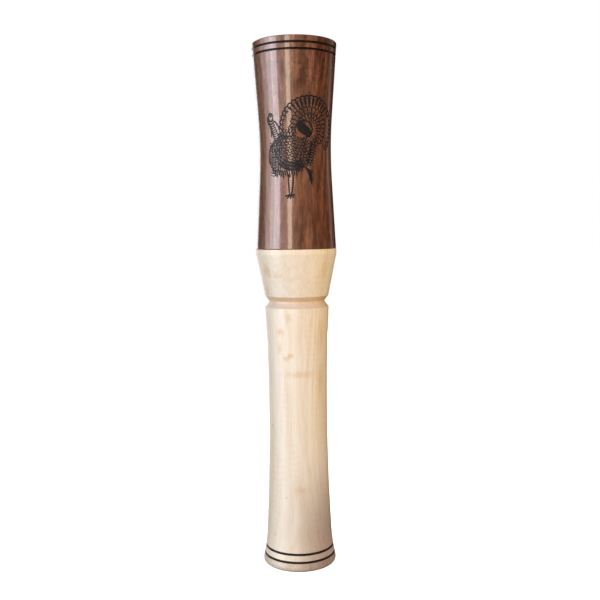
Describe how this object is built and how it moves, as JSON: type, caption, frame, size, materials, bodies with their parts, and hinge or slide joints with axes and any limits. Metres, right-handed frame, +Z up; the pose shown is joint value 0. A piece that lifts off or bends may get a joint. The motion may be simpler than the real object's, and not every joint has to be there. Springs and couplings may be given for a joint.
{
  "type": "duck call",
  "caption": "Turned wooden game call: a flared dark barrel pushes onto the ringed tenon of a long pale insert that holds a tone board, a flexing reed and a wedge.",
  "frame": {"origin": "middle of the foot's flat face, on the turned axis", "axes": "+Z up along the turned axis from the foot to the mouth, -Y towards the side that the reed faces, +X to the right of someone looking at that side"},
  "size_m": [0.034, 0.034, 0.2108],
  "materials": {
    "pale_wood": "gloss lacquer over maple",
    "dark_wood": "gloss lacquer over walnut",
    "board_plastic": "turned and milled, satin",
    "reed_film": "milky polyester sheet",
    "cork": "natural cork",
    "ring_rubber": "smooth black rubber"
  },
  "bodies": {
    "insert": {"insert": "pale_wood"},
    "tenon_rings": {"tenon_ring_lower": "ring_rubber", "tenon_ring_upper": "ring_rubber"},
    "barrel": {"barrel": "dark_wood"},
    "tone_board": {"tone_board": "board_plastic", "board_ring_lower": "ring_rubber", "board_ring_upper": "ring_rubber"},
    "wedge": {"wedge": "cork"},
    "reed": {"reed": "reed_film"}
  },
  "joints": [
    {"name": "barrel_twist", "type": "hinge", "parent": "insert", "child": "tenon_rings", "pos_m": [0, 0, 0.1386], "axis": [0, 0, 1], "continuous": true},
    {"name": "barrel_pull", "type": "slide", "parent": "tenon_rings", "child": "barrel", "axis": [0, 0, 1], "range_m": [0, 0.07]},
    {"name": "tone_board_pull", "type": "slide", "parent": "insert", "child": "tone_board", "axis": [0, 0, 1], "range_m": [0, 0.03]},
    {"name": "wedge_slide", "type": "slide", "parent": "tone_board", "child": "wedge", "axis": [0, 0, 1], "range_m": [0, 0.02]},
    {"name": "reed_flex", "type": "hinge", "parent": "tone_board", "child": "reed", "pos_m": [0, -0.00071, 0.16243], "axis": [-1, 0, 0], "range_deg": [-0.8, 2.4], "stiffness_Nm_per_rad": 0.018, "deforming": ["reed"]}
  ]
}
